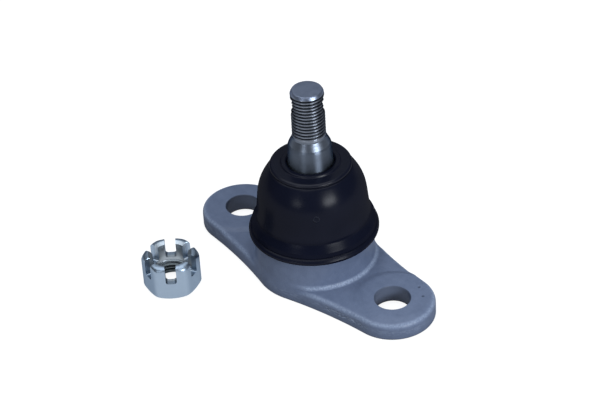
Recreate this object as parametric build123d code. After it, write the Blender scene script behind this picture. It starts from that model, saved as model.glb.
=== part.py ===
# Suspension ball joint with a two-bolt flange, in millimetres.
#
# The row frame: the origin lies on the ball's axis in the flange's bottom face, +Z runs up the
# stud, and +X runs along the two bolt holes. The stud stands in its middle position. The castle
# nut, which is delivered loose, stands on the plane of the flange's bottom face.
#
# The dust boot is one rubber moulding on the real joint. It is cut here into three zones,
# because its bead stays with the housing, its collar goes with the stud, and its wall bends.

from math import cos, hypot, radians, sin, sqrt
import os

from build123d import *

# Flange: two bolt lugs and a round middle that carries the boss.
BOLT_SPACING = 92.0
BOLT_HOLE_D = 15.0
LUG_RADIUS = 17.75
LUG_THICKNESS = 8.0
PAD_MARGIN = 1.35
PAD_HEIGHT = 0.8
PAD_SLOPE = 1.3
WAIST_RADIUS = 200.0
FLANGE_MARGIN = 0.5
FLANGE_EDGE_RADIUS = 1.8
FLANGE_BOTTOM_RADIUS = 0.8

# Ball and its bearing, stacked from the crimped lip at the bottom upwards.
BALL_RADIUS = 14.0
BALL_CLEARANCE = 0.05
FIT_CLEARANCE = 0.1
CRIMP_THICKNESS = 1.2
CRIMP_OVERLAP = 1.6
COVER_THICKNESS = 3.0
COVER_STEP = 2.4
COVER_DISH_RADIUS = 11.0
COVER_DISH_DEPTH = 0.9
SPRING_HEIGHT = 1.7
SPRING_THICKNESS = 1.1
SPRING_CLEARANCE = 1.1
SPRING_WIDTH = 7.5
SEAT_FLOOR = 1.6
SEAT_WALL = 2.45
SEAT_SPLIT = 0.6
SEAT_EDGE_ANGLE = 63.5
SEAT_TOP = 7.6
SEAT_MOUTH_FLARE = 1.2
SEAT_CHAMFER = 2.0
GREASE_HOLE_RADIUS = 4.0
GREASE_GROOVES = 4
GREASE_GROOVE_WIDTH = 1.6
GREASE_GROOVE_DEPTH = 0.7

# Boss: the forged cup round the bearing, with a spigot for the boot on top.
SPIGOT_WALL = 4.4
SPIGOT_HEIGHT = 12.0
SPIGOT_CHAMFER = 1.2
BOSS_STEP = 4.4
BOSS_DRAFT = 0.6
BOSS_FOOT_RADIUS = 2.5
BOSS_FADE = 0.6
LIP_THICKNESS = 3.4
LIP_OVERLAP = 2.9
MOUTH_FLARE = 1.7

# Ball stud. Its neck starts at the ball, and its other heights are counted from the ball's centre.
NECK_RADIUS = 7.6
NECK_FILLET = 3.0
NECK_REACH = 6.5
SHANK_FLARE = 4.5
FLARE_ROUNDING = 3.0
SHANK_TAPER = 0.05
SHOULDER_START = 42.1
SHOULDER_RADIUS = 9.0
SHOULDER_SLOPE = 3.6
SHOULDER_ROUNDING = 0.8
THREAD_RADIUS = 7.0
STUD_REACH = 68.0
STUD_END_RADIUS = 1.6
PIN_HOLE_D = 3.6
PIN_HOLE_SINK_D = 6.8
PIN_HOLE_BELOW_END = 6.5
PIN_HOLE_ANGLE = 49.0

# Dust boot and the two steel rings that hold it. Its heights are counted from the boss's top.
BASE_RING_WALL = 1.2
BASE_RING_HEIGHT = 6.0
BASE_RING_FOOT = 2.0
BEAD_WALL = 2.7
BEAD_HEIGHT = 3.2
BEAD_STEP = 0.9
BEAD_SHOULDER_STEP = 1.7
BEAD_SHOULDER_RISE = 2.4
BEAD_ROUNDING = 1.0
BOOT_WALL = 2.2
BOOT_SKIRT_STEP = 2.5
BOOT_SKIRT_RISE = 7.5
BOOT_WAIST_STEP = 1.3
BOOT_WAIST_RISE = 13.5
BOOT_BELLY_STEP = 1.85
BOOT_BELLY_RISE = 19.5
BOOT_CHEEK_STEP = 3.5
BOOT_CHEEK_RISE = 25.5
BOOT_CROWN_STEP = 0.7
BOOT_CROWN_RISE = 31.5
COLLAR_RISE = 33.8
COLLAR_DEPTH = 4.6
COLLAR_LINING = 2.6
COLLAR_COVER = 3.6
COLLAR_CREASE = 0.3
COLLAR_BEVEL = 0.8
COLLAR_SKIRT = 0.6
LIP_STEP = 5.0
LIP_RISE = 0.7
LIP_SLOPE = 1.0
NECK_RING_WALL = 1.2
NECK_RING_HEIGHT = 2.6

# Castle nut.
NUT_FACES = 6
NUT_ACROSS_FLATS = 22.0
NUT_HEIGHT = 16.0
NUT_THREAD_DEPTH = 0.8
NUT_SLOT_CLEARANCE = 1.0
NUT_SLOT_DEPTH = 7.9
NUT_SLOT_ROUNDING = 1.1
NUT_TOP_BEVEL = 0.8
NUT_TOP_DROP = 2.0
NUT_BOTTOM_CHAMFER = 0.9
NUT_BORE_SINK = 0.9
NUT_PLACE = (-35.0, -50.3)
NUT_CORNER_ANGLE = 50.0

# How far a cutting shape runs past the face that it cuts.
OVERRUN = 1.0

# Heights and radii that follow from the driving sizes.
WEB_HEIGHT = LUG_THICKNESS - PAD_HEIGHT
PAD_RADIUS = LUG_RADIUS - PAD_MARGIN
COVER_BASE_HEIGHT = CRIMP_THICKNESS
COVER_TOP_HEIGHT = COVER_BASE_HEIGHT + COVER_THICKNESS
SEAT_BASE_HEIGHT = COVER_TOP_HEIGHT + SPRING_HEIGHT
BALL_HEIGHT = SEAT_BASE_HEIGHT + SEAT_FLOOR + BALL_RADIUS
SEAT_TOP_HEIGHT = BALL_HEIGHT + SEAT_TOP
SEAT_RADIUS = BALL_RADIUS + BALL_CLEARANCE
SEAT_OUTER_RADIUS = SEAT_RADIUS + SEAT_WALL
SEAT_BORE_RADIUS = SEAT_OUTER_RADIUS + FIT_CLEARANCE
MOUTH_RADIUS = SEAT_BORE_RADIUS - LIP_OVERLAP
COVER_RADIUS = SEAT_BORE_RADIUS + COVER_STEP
COVER_BORE_RADIUS = COVER_RADIUS + FIT_CLEARANCE
SPRING_OUTER_RADIUS = SEAT_BORE_RADIUS - SPRING_CLEARANCE
HOUSING_TOP = SEAT_TOP_HEIGHT + LIP_THICKNESS
BOSS_HEIGHT = HOUSING_TOP - SPIGOT_HEIGHT
SPIGOT_RADIUS = SEAT_BORE_RADIUS + SPIGOT_WALL
BOSS_RADIUS = SPIGOT_RADIUS + BOSS_STEP
FLANGE_MIDDLE_RADIUS = BOSS_RADIUS + FLANGE_MARGIN
SHOULDER_HEIGHT = BALL_HEIGHT + SHOULDER_START
STUD_HEIGHT = BALL_HEIGHT + STUD_REACH
BASE_RING_BORE = SPIGOT_RADIUS + FIT_CLEARANCE
BASE_RING_RADIUS = BASE_RING_BORE + BASE_RING_WALL
BASE_RING_FOOT_RADIUS = BASE_RING_RADIUS + BASE_RING_FOOT
BASE_RING_TOP = BOSS_HEIGHT + BASE_RING_HEIGHT
BEAD_RADIUS = BASE_RING_FOOT_RADIUS + FIT_CLEARANCE + BEAD_WALL
BEAD_TOP = BOSS_HEIGHT + BEAD_HEIGHT
BOOT_SKIRT_RADIUS = BEAD_RADIUS - BOOT_SKIRT_STEP
BOOT_SKIRT_HEIGHT = BOSS_HEIGHT + BOOT_SKIRT_RISE
BOOT_CROWN_HEIGHT = BOSS_HEIGHT + BOOT_CROWN_RISE
COLLAR_HEIGHT = BOSS_HEIGHT + COLLAR_RISE
COLLAR_BOTTOM = COLLAR_HEIGHT - COLLAR_DEPTH


def shank_radius(height):
    """Radius of the stud's tapered shank at a height, widest at its lower end."""
    return SHOULDER_RADIUS + SHANK_TAPER * (SHOULDER_HEIGHT - height)


def turned(sketch):
    """A solid of revolution about the Z axis from a half section drawn in the XZ plane."""
    return revolve(sketch, Axis.Z)


def section(*points):
    """A half section with straight sides, given as (radius, height) points."""
    return make_face(Plane.XZ * Polyline(*points, close=True))


def rounded(face, corner, radius):
    """The face with the corner nearest to a point rounded."""
    return fillet(face.vertices().sort_by_distance((corner[0], corner[1], 0))[0], radius)


def tube(inner, outer, low, high):
    """A straight ring between two radii and two heights."""
    return turned(section((inner, low), (outer, low), (outer, high), (inner, high)))


def disc(radius, low, high):
    """A round disc between two heights."""
    return Pos(0, 0, low) * Cylinder(
        radius, high - low, align=(Align.CENTER, Align.CENTER, Align.MIN))


def cone(low_radius, high_radius, low, high):
    """A cone frustum between two heights."""
    return Pos(0, 0, low) * Cone(
        low_radius, high_radius, high - low, align=(Align.CENTER, Align.CENTER, Align.MIN))


def bolt_places():
    """The two bolt holes' places."""
    return [(-BOLT_SPACING / 2, 0), (BOLT_SPACING / 2, 0)]


def flange_outline():
    """Plan of the flange: two lug arcs and two middle arcs joined by slightly hollow sides."""
    half = BOLT_SPACING / 2
    to_middle = WAIST_RADIUS + FLANGE_MIDDLE_RADIUS
    to_lug = WAIST_RADIUS + LUG_RADIUS
    centre_x = (to_middle**2 - to_lug**2 + half**2) / (2 * half)
    centre_y = sqrt(to_middle**2 - centre_x**2)
    middle_end = (centre_x * FLANGE_MIDDLE_RADIUS / to_middle,
                  centre_y * FLANGE_MIDDLE_RADIUS / to_middle)
    lug_end = (half + (centre_x - half) * LUG_RADIUS / to_lug, centre_y * LUG_RADIUS / to_lug)
    chord_x = (middle_end[0] + lug_end[0]) / 2 - centre_x
    chord_y = (middle_end[1] + lug_end[1]) / 2 - centre_y
    reach = WAIST_RADIUS / hypot(chord_x, chord_y)
    waist = (centre_x + chord_x * reach, centre_y + chord_y * reach)

    def at(point, x_sign, y_sign):
        return (x_sign * point[0], y_sign * point[1])

    arcs = []
    for x_sign in (1, -1):
        tip = (x_sign * (half + LUG_RADIUS), 0)
        arcs.append(ThreePointArc(at(lug_end, x_sign, -1), tip, at(lug_end, x_sign, 1)))
        for y_sign in (1, -1):
            arcs.append(ThreePointArc(at(lug_end, x_sign, y_sign), at(waist, x_sign, y_sign),
                                      at(middle_end, x_sign, y_sign)))
    for y_sign in (1, -1):
        arcs.append(ThreePointArc(at(middle_end, 1, y_sign), (0, y_sign * FLANGE_MIDDLE_RADIUS),
                                  at(middle_end, -1, y_sign)))
    return make_face(Curve() + arcs)


def boss_section(foot_height):
    """Half section of the boss above the flange, with its foot fillet and its spigot."""
    outline = Polyline(
        (0, 0), (FLANGE_MIDDLE_RADIUS + 3 * BOSS_FOOT_RADIUS, 0),
        (FLANGE_MIDDLE_RADIUS + 3 * BOSS_FOOT_RADIUS, foot_height), (BOSS_RADIUS, foot_height),
        (BOSS_RADIUS - BOSS_DRAFT, BOSS_HEIGHT), (SPIGOT_RADIUS, BOSS_HEIGHT),
        (SPIGOT_RADIUS, HOUSING_TOP - SPIGOT_CHAMFER),
        (SPIGOT_RADIUS - SPIGOT_CHAMFER, HOUSING_TOP), (0, HOUSING_TOP), close=True)
    return Plane.XZ * rounded(make_face(outline), (BOSS_RADIUS, foot_height), BOSS_FOOT_RADIUS)


def housing_cavity():
    """What the housing is bored and turned out to, from the cover's recess to the mouth."""
    crimp_radius = COVER_BORE_RADIUS - CRIMP_OVERLAP
    return turned(section(
        (0, -OVERRUN), (crimp_radius, -OVERRUN), (crimp_radius, CRIMP_THICKNESS / 2),
        (COVER_BORE_RADIUS, COVER_BASE_HEIGHT), (COVER_BORE_RADIUS, COVER_TOP_HEIGHT),
        (SEAT_BORE_RADIUS, COVER_TOP_HEIGHT), (SEAT_BORE_RADIUS, SEAT_TOP_HEIGHT),
        (MOUTH_RADIUS, SEAT_TOP_HEIGHT), (MOUTH_RADIUS + MOUTH_FLARE, HOUSING_TOP),
        (MOUTH_RADIUS + MOUTH_FLARE, HOUSING_TOP + OVERRUN), (0, HOUSING_TOP + OVERRUN)))


def pad_recess():
    """The shallow recess in the flange's top that leaves a raised pad round each bolt hole."""
    recess = Pos(0, 0, WEB_HEIGHT) * Box(
        BOLT_SPACING, 2 * (BOSS_RADIUS + LUG_RADIUS), PAD_HEIGHT + OVERRUN,
        align=(Align.CENTER, Align.CENTER, Align.MIN))
    lean = PAD_SLOPE / PAD_HEIGHT
    for x, y in bolt_places():
        recess -= Pos(x, y) * cone(PAD_RADIUS + PAD_SLOPE, PAD_RADIUS - lean * OVERRUN,
                                   WEB_HEIGHT, LUG_THICKNESS + OVERRUN)
    return recess


def make_housing():
    """The forged housing: flange, pads round the bolt holes, boss, spigot and cavity."""
    outline = flange_outline()
    flange = extrude(outline, LUG_THICKNESS)
    flange = fillet(flange.edges().group_by(Axis.Z)[-1], FLANGE_EDGE_RADIUS)
    flange = fillet(flange.edges().group_by(Axis.Z)[0], FLANGE_BOTTOM_RADIUS)
    boss = turned(boss_section(WEB_HEIGHT)) & extrude(offset(outline, -BOSS_FADE), HOUSING_TOP)
    body = flange - pad_recess() + boss
    for x, y in bolt_places():
        body -= Pos(x, y) * disc(BOLT_HOLE_D / 2, -OVERRUN, LUG_THICKNESS + OVERRUN)
    return body - housing_cavity()


def make_ball_stud():
    """The stud: ball, neck, tapered shank, shoulder and threaded end with its pin hole."""
    ball = Pos(0, BALL_HEIGHT) * Circle(BALL_RADIUS) & Pos(BALL_RADIUS, BALL_HEIGHT) * Rectangle(
        2 * BALL_RADIUS, 2 * BALL_RADIUS)
    shank_height = BALL_HEIGHT + BALL_RADIUS + NECK_REACH
    flare_start = (NECK_RADIUS, shank_height - SHANK_FLARE)
    flare_end = (shank_radius(shank_height), shank_height)
    shoulder = (SHOULDER_RADIUS, SHOULDER_HEIGHT)
    shank = make_face(Polyline(
        (0, BALL_HEIGHT), (NECK_RADIUS, BALL_HEIGHT), flare_start, flare_end, shoulder,
        (THREAD_RADIUS, SHOULDER_HEIGHT + SHOULDER_SLOPE), (THREAD_RADIUS, STUD_HEIGHT),
        (0, STUD_HEIGHT), close=True))
    face = ball + shank
    neck_height = BALL_HEIGHT + sqrt(BALL_RADIUS**2 - NECK_RADIUS**2)
    face = rounded(face, (NECK_RADIUS, neck_height), NECK_FILLET)
    face = rounded(face, flare_start, FLARE_ROUNDING)
    face = rounded(face, flare_end, FLARE_ROUNDING)
    face = rounded(face, shoulder, SHOULDER_ROUNDING)
    face = rounded(face, (THREAD_RADIUS, STUD_HEIGHT), STUD_END_RADIUS)
    return turned(Plane.XZ * face) - pin_hole()


def pin_hole():
    """The split pin's cross hole, sunk at 45 degrees at both ends."""
    hole_r = PIN_HOLE_D / 2
    sink_r = PIN_HOLE_SINK_D / 2
    hole = Cylinder(hole_r, 2 * (THREAD_RADIUS + OVERRUN))
    for turn in (0, 180):
        hole += Rot(turn, 0, 0) * cone(hole_r, sink_r + OVERRUN, THREAD_RADIUS - sink_r + hole_r,
                                       THREAD_RADIUS + OVERRUN)
    return Pos(0, 0, STUD_HEIGHT - PIN_HOLE_BELOW_END) * Rot(0, 0, PIN_HOLE_ANGLE) * Rot(0, 90, 0) * hole


def ball_pocket():
    """The ball's running space, cut out of both bearing halves."""
    return Pos(0, 0, BALL_HEIGHT) * Sphere(SEAT_RADIUS)


def make_upper_bearing():
    """The upper bearing half, which holds the ball down and opens wide for the stud's swing."""
    angle = radians(SEAT_EDGE_ANGLE)
    edge_r = SEAT_RADIUS * sin(angle)
    edge_z = BALL_HEIGHT + SEAT_RADIUS * cos(angle)
    bottom = BALL_HEIGHT + SEAT_SPLIT / 2
    blank = turned(section(
        (BALL_RADIUS / 2, bottom), (SEAT_OUTER_RADIUS, bottom), (SEAT_OUTER_RADIUS, SEAT_TOP_HEIGHT),
        (edge_r + SEAT_MOUTH_FLARE, SEAT_TOP_HEIGHT), (edge_r, edge_z), (BALL_RADIUS / 2, edge_z)))
    return blank - ball_pocket()


def make_lower_bearing():
    """The lower bearing cup, with a grease hole in its floor and grooves up its wall."""
    top = BALL_HEIGHT - SEAT_SPLIT / 2
    cup = turned(section(
        (GREASE_HOLE_RADIUS, SEAT_BASE_HEIGHT), (SEAT_OUTER_RADIUS - SEAT_CHAMFER, SEAT_BASE_HEIGHT),
        (SEAT_OUTER_RADIUS, SEAT_BASE_HEIGHT + SEAT_CHAMFER), (SEAT_OUTER_RADIUS, top),
        (GREASE_HOLE_RADIUS, top)))
    cup -= ball_pocket()
    groove_reach = SEAT_RADIUS + GREASE_GROOVE_DEPTH
    groove = Pos(0, 0, BALL_HEIGHT) * Rot(90, 0, 0) * Cylinder(groove_reach, GREASE_GROOVE_WIDTH)
    for turn in range(GREASE_GROOVES // 2):
        cup -= Rot(0, 0, 360 / GREASE_GROOVES * turn) * groove
    return cup


def make_disc_spring():
    """The disc spring that presses the lower bearing up against the ball."""
    inner = SPRING_OUTER_RADIUS - SPRING_WIDTH
    return turned(section(
        (SPRING_OUTER_RADIUS, COVER_TOP_HEIGHT),
        (SPRING_OUTER_RADIUS, COVER_TOP_HEIGHT + SPRING_THICKNESS),
        (inner, SEAT_BASE_HEIGHT), (inner, SEAT_BASE_HEIGHT - SPRING_THICKNESS)))


def make_cover_plate():
    """The pressed cover that closes the housing from below, dished in its middle."""
    dish_height = COVER_BASE_HEIGHT + COVER_DISH_DEPTH
    return turned(section(
        (0, dish_height), (COVER_DISH_RADIUS, dish_height),
        (COVER_DISH_RADIUS + COVER_DISH_DEPTH, COVER_BASE_HEIGHT), (COVER_RADIUS, COVER_BASE_HEIGHT),
        (COVER_RADIUS, COVER_TOP_HEIGHT), (0, COVER_TOP_HEIGHT)))


def make_boot_base_ring():
    """The steel ring inside the boot's bead, pressed over the spigot onto the boss."""
    foot_top = BOSS_HEIGHT + BASE_RING_WALL
    return turned(section(
        (BASE_RING_BORE, BOSS_HEIGHT), (BASE_RING_FOOT_RADIUS, BOSS_HEIGHT),
        (BASE_RING_FOOT_RADIUS, foot_top), (BASE_RING_RADIUS, foot_top),
        (BASE_RING_RADIUS, BASE_RING_TOP), (BASE_RING_BORE, BASE_RING_TOP)))


def make_boot_bead():
    """The boot's bead round the base ring, up to where the wall starts to bend."""
    foot_radius = BASE_RING_FOOT_RADIUS + FIT_CLEARANCE
    foot_top = BOSS_HEIGHT + BASE_RING_WALL + FIT_CLEARANCE
    wall_radius = BASE_RING_RADIUS + FIT_CLEARANCE
    face = make_face(Polyline(
        (foot_radius, BOSS_HEIGHT), (BEAD_RADIUS, BOSS_HEIGHT), (BEAD_RADIUS, BEAD_TOP),
        (BEAD_RADIUS - BEAD_STEP, BEAD_TOP),
        (BEAD_RADIUS - BEAD_SHOULDER_STEP, BEAD_TOP + BEAD_SHOULDER_RISE),
        (BOOT_SKIRT_RADIUS, BOOT_SKIRT_HEIGHT), (wall_radius, BOOT_SKIRT_HEIGHT),
        (wall_radius, foot_top), (foot_radius, foot_top), close=True))
    face = rounded(face, (BEAD_RADIUS, BOSS_HEIGHT), BEAD_ROUNDING)
    face = rounded(face, (BEAD_RADIUS, BEAD_TOP), BEAD_STEP / 2)
    return turned(Plane.XZ * face)


def boot_curve(depth):
    """The boot wall's outer line, or with a depth the line that far under it."""
    points = []
    for step, rise, lean in (
            (0, BOOT_SKIRT_RISE, 0), (BOOT_WAIST_STEP, BOOT_WAIST_RISE, 0),
            (BOOT_BELLY_STEP, BOOT_BELLY_RISE, 10), (BOOT_CHEEK_STEP, BOOT_CHEEK_RISE, 35),
            (BOOT_SKIRT_RADIUS - crown_radius(), BOOT_CROWN_RISE, 0)):
        points.append((BOOT_SKIRT_RADIUS - step - depth * cos(radians(lean)),
                       BOSS_HEIGHT + rise - depth * sin(radians(lean))))
    return Spline(*points)


def make_boot_wall():
    """The boot's flexible wall between the bead and the collar."""
    outer = boot_curve(0)
    inner = boot_curve(BOOT_WALL)
    face = make_face(Curve() + [
        outer, Line(outer @ 1, inner @ 1), inner, Line(inner @ 0, outer @ 0)])
    return turned(Plane.XZ * face)


def neck_ring_radius():
    """Inner radius of the collar's stiffening ring."""
    return shank_radius(COLLAR_BOTTOM) + FIT_CLEARANCE + COLLAR_LINING


def collar_radius():
    """Outer radius of the boot's collar."""
    return neck_ring_radius() + NECK_RING_WALL + COLLAR_COVER


def crown_radius():
    """Outer radius of the boot's wall where it meets the collar."""
    return collar_radius() + BOOT_CROWN_STEP


def make_boot_collar():
    """The boot's thick collar, which seals on the shank and covers the neck ring."""
    outer = collar_radius()
    bore_top = COLLAR_HEIGHT - LIP_SLOPE
    bore = shank_radius(bore_top) + FIT_CLEARANCE
    groove_in = neck_ring_radius() - FIT_CLEARANCE
    groove_out = neck_ring_radius() + NECK_RING_WALL + FIT_CLEARANCE
    groove_top = COLLAR_BOTTOM + NECK_RING_HEIGHT + FIT_CLEARANCE
    lip_top = COLLAR_HEIGHT + LIP_RISE
    return turned(section(
        (shank_radius(COLLAR_BOTTOM) + FIT_CLEARANCE, COLLAR_BOTTOM), (groove_in, COLLAR_BOTTOM),
        (groove_in, groove_top), (groove_out, groove_top), (groove_out, COLLAR_BOTTOM),
        (groove_out + COLLAR_SKIRT, COLLAR_BOTTOM), (crown_radius() - BOOT_WALL, BOOT_CROWN_HEIGHT),
        (crown_radius(), BOOT_CROWN_HEIGHT),
        (outer - COLLAR_CREASE, BOOT_CROWN_HEIGHT + 2 * COLLAR_CREASE),
        (outer, BOOT_CROWN_HEIGHT + 4 * COLLAR_CREASE), (outer - COLLAR_BEVEL, COLLAR_HEIGHT),
        (outer - LIP_STEP + LIP_RISE, COLLAR_HEIGHT), (outer - LIP_STEP, lip_top),
        (bore + LIP_SLOPE, lip_top), (bore, bore_top)))


def make_boot_neck_ring():
    """The stiffening ring seated in the underside of the boot's collar."""
    inner = neck_ring_radius()
    return tube(inner, inner + NECK_RING_WALL, COLLAR_BOTTOM, COLLAR_BOTTOM + NECK_RING_HEIGHT)


def make_castle_nut():
    """The slotted hexagon nut that clamps the shank and takes the split pin."""
    corner = NUT_ACROSS_FLATS / 2 / cos(radians(180 / NUT_FACES))
    flat = NUT_ACROSS_FLATS / 2
    bore = THREAD_RADIUS - NUT_THREAD_DEPTH
    nut = extrude(RegularPolygon(corner, NUT_FACES), NUT_HEIGHT)
    nut &= turned(section(
        (0, 0), (flat - NUT_BOTTOM_CHAMFER / 2, 0), (corner, 2 * NUT_BOTTOM_CHAMFER),
        (corner, NUT_HEIGHT - NUT_TOP_DROP), (flat - NUT_TOP_BEVEL, NUT_HEIGHT), (0, NUT_HEIGHT)))
    nut -= disc(bore, -OVERRUN, NUT_HEIGHT + OVERRUN)
    nut -= cone(bore + NUT_BORE_SINK, bore, 0, NUT_BORE_SINK)
    nut -= cone(bore, bore + NUT_BORE_SINK, NUT_HEIGHT - NUT_BORE_SINK, NUT_HEIGHT)
    slot = Box(2 * NUT_ACROSS_FLATS, PIN_HOLE_D + NUT_SLOT_CLEARANCE, 2 * NUT_SLOT_DEPTH)
    slot = fillet(slot.edges().filter_by(Axis.X), NUT_SLOT_ROUNDING)
    slot = Pos(0, 0, NUT_HEIGHT) * slot
    for face in range(NUT_FACES // 2):
        nut -= Rot(0, 0, 180 / NUT_FACES + 360 / NUT_FACES * face) * slot
    return Pos(*NUT_PLACE) * Rot(0, 0, NUT_CORNER_ANGLE) * nut


def main():
    """Write one STEP file for each piece."""
    os.makedirs("parts", exist_ok=True)
    pieces = {
        "housing": make_housing(),
        "ball_stud": make_ball_stud(),
        "upper_bearing": make_upper_bearing(),
        "lower_bearing": make_lower_bearing(),
        "disc_spring": make_disc_spring(),
        "cover_plate": make_cover_plate(),
        "boot_base_ring": make_boot_base_ring(),
        "boot_bead": make_boot_bead(),
        "boot_wall": make_boot_wall(),
        "boot_collar": make_boot_collar(),
        "boot_neck_ring": make_boot_neck_ring(),
        "castle_nut": make_castle_nut(),
    }
    for name, piece in pieces.items():
        export_step(piece, os.path.join("parts", name + ".step"))


main()
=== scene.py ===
# %% [markdown]
# A suspension ball joint
#
# The part is a forged housing with two bolt lugs, a ball stud that swings in it, a rubber dust
# boot and the castle nut that lies beside it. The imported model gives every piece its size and
# place. This lesson dresses it: it works out smooth surfaces with numpy and gives each one a
# finish built from noise, bump and gloss.

# %% Load the frame
from math import cos, pi, radians, sin, sqrt

import bmesh
import bpy
import numpy as np
from mathutils import Matrix, Vector


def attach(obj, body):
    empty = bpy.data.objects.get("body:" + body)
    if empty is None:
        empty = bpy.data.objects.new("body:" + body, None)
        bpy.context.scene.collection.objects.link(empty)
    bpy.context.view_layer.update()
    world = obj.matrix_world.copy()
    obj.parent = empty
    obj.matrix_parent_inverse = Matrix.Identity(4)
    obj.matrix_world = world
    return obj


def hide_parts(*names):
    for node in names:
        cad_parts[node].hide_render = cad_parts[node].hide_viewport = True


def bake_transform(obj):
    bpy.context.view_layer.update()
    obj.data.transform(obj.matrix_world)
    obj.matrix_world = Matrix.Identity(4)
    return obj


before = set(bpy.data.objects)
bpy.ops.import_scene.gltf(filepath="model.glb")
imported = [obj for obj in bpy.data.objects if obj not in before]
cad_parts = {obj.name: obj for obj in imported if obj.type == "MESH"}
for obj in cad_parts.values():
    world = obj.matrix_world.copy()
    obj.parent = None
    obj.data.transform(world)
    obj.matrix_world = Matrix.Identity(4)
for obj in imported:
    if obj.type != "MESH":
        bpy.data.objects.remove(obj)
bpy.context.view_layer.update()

MM = 0.001


# %% [markdown]
# The camera
#
# The photograph was taken from above and to one side with a long lens. A camera looks along its
# own -Z axis, so its matrix has the picture's right, the picture's up and the way back to the
# photographer as columns. Turning the first two about the third gives the small roll of a
# hand-held picture.

# %% Camera
CAMERA_PLACE = Vector((524.991, -463.202, 554.955)) * MM
CAMERA_AZIMUTH = radians(49.0087)
CAMERA_ELEVATION = radians(36.6171)
CAMERA_ROLL = radians(-3.4004)
LENS_MM = 126
SENSOR_MM = 36
CLIP_START = 0.01

camera_side = Vector((sin(CAMERA_AZIMUTH), -cos(CAMERA_AZIMUTH), 0))
camera_right = Vector((cos(CAMERA_AZIMUTH), sin(CAMERA_AZIMUTH), 0))
straight_up = Vector((0, 0, 1))
camera_back = camera_side * cos(CAMERA_ELEVATION) + straight_up * sin(CAMERA_ELEVATION)
camera_up = camera_back.cross(camera_right)
turned_right = camera_right * cos(CAMERA_ROLL) + camera_up * sin(CAMERA_ROLL)
turned_up = camera_up * cos(CAMERA_ROLL) - camera_right * sin(CAMERA_ROLL)

camera_data = bpy.data.cameras.new("camera")
camera_data.lens = LENS_MM
camera_data.sensor_width = SENSOR_MM
camera_data.sensor_fit = "HORIZONTAL"
camera_data.clip_start = CLIP_START
camera = bpy.data.objects.new("camera", camera_data)
camera.matrix_world = Matrix.Translation(CAMERA_PLACE) @ Matrix(
    (turned_right, turned_up, camera_back)).transposed().to_4x4()
bpy.context.scene.collection.objects.link(camera)
bpy.context.scene.camera = camera
bpy.context.scene.view_settings.view_transform = "Standard"
print("the camera is", round(CAMERA_PLACE.length, 3), "m from the part")

# %% [markdown]
# The studio
#
# Two soft lamps stand low in front of the part, one on each side of the camera. They make the
# pair of upright streaks on the stud and the pair of soft spots on the boot. A third one hangs
# overhead and lights what faces up, and a weak one behind gives the far side some shape. A
# wide lamp makes broad, soft reflections and a small one makes spots, which is why the
# overhead one is so large.

# %% Lamps
LAMP_DISTANCE = 0.9
LAMP_COLOUR = (0.92, 0.96, 1.0)
STUDIO_CENTRE = Vector((0, 0, 45)) * MM


def softbox(name, turn, elevation, width, height, watts):
    """A rectangular lamp aimed at the part.

    Its level direction is the camera's, turned: the cosine of the turn times the camera's side
    plus the sine times the picture's right. The elevation then raises it in the same way.
    """
    data = bpy.data.lights.new(name, "AREA")
    data.shape = "RECTANGLE"
    data.size = width
    data.size_y = height
    data.energy = watts
    data.color = LAMP_COLOUR
    level = camera_side * cos(radians(turn)) + camera_right * sin(radians(turn))
    away = level * cos(radians(elevation)) + straight_up * sin(radians(elevation))
    lamp = bpy.data.objects.new(name, data)
    lamp.matrix_world = Matrix.Translation(STUDIO_CENTRE + away * LAMP_DISTANCE) @ (
        away.to_track_quat("Z", "Y").to_matrix().to_4x4())
    bpy.context.scene.collection.objects.link(lamp)
    print(name, "gives", watts, "W")


softbox("left_softbox", turn=-34, elevation=17, width=0.24, height=0.14, watts=0.8)
softbox("right_softbox", turn=36, elevation=18, width=0.36, height=0.20, watts=5.3)
softbox("top_softbox", turn=-60, elevation=83, width=1.3, height=1.3, watts=9.2)
softbox("back_softbox", turn=180, elevation=38, width=0.8, height=0.5, watts=0.4)

# %% [markdown]
# The even light
#
# The world gives a little even light from all sides, so that no shadow is quite black. A shader
# is a tree of nodes, and one helper makes a node, sets it and links what goes into it.

# %% World
WORLD_LIGHT = (0.86, 0.92, 1.0, 1)
WORLD_STRENGTH = 0.15


def node(tree, kind, inputs=None, **settings):
    """A shader node with its settings, and its inputs given as numbers, colours or sockets."""
    made = tree.nodes.new(kind)
    for key, value in settings.items():
        setattr(made, key, value)
    for key, value in (inputs or {}).items():
        if isinstance(value, bpy.types.NodeSocket):
            tree.links.new(value, made.inputs[key])
        else:
            made.inputs[key].default_value = value
    return made


world = bpy.data.worlds.new("studio")
world.use_nodes = True
bpy.context.scene.world = world
world.node_tree.nodes.clear()
soft_light = node(world.node_tree, "ShaderNodeBackground",
                  {"Color": WORLD_LIGHT, "Strength": WORLD_STRENGTH})
node(world.node_tree, "ShaderNodeOutputWorld", {"Surface": soft_light.outputs[0]})
print("the world's strength is", WORLD_STRENGTH)

# %% [markdown]
# The floor
#
# The photograph has a white ground with a faint shadow. The floor is a sheet of plain grey paper
# that also glows, but only for camera, reflection and refraction rays. So it looks white and
# keeps the shadow, and yet it lights the part no more than grey paper would.

# %% Floor
HALF_FLOOR = 6.0
FLOOR_DROP = 0.02 * MM
FLOOR_GLOW = 0.84
PAPER = (0.27, 0.275, 0.285, 1)
WHITE = (1, 1, 1, 1)


def white_for_looks(tree):
    """The largest of three numbers that are 1 for camera, glossy and transmission rays, else 0."""
    rays = node(tree, "ShaderNodeLightPath")
    largest = rays.outputs["Is Camera Ray"]
    for name in ("Is Glossy Ray", "Is Transmission Ray"):
        largest = node(tree, "ShaderNodeMath", {0: largest, 1: rays.outputs[name]},
                       operation="MAXIMUM").outputs[0]
    return largest


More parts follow.
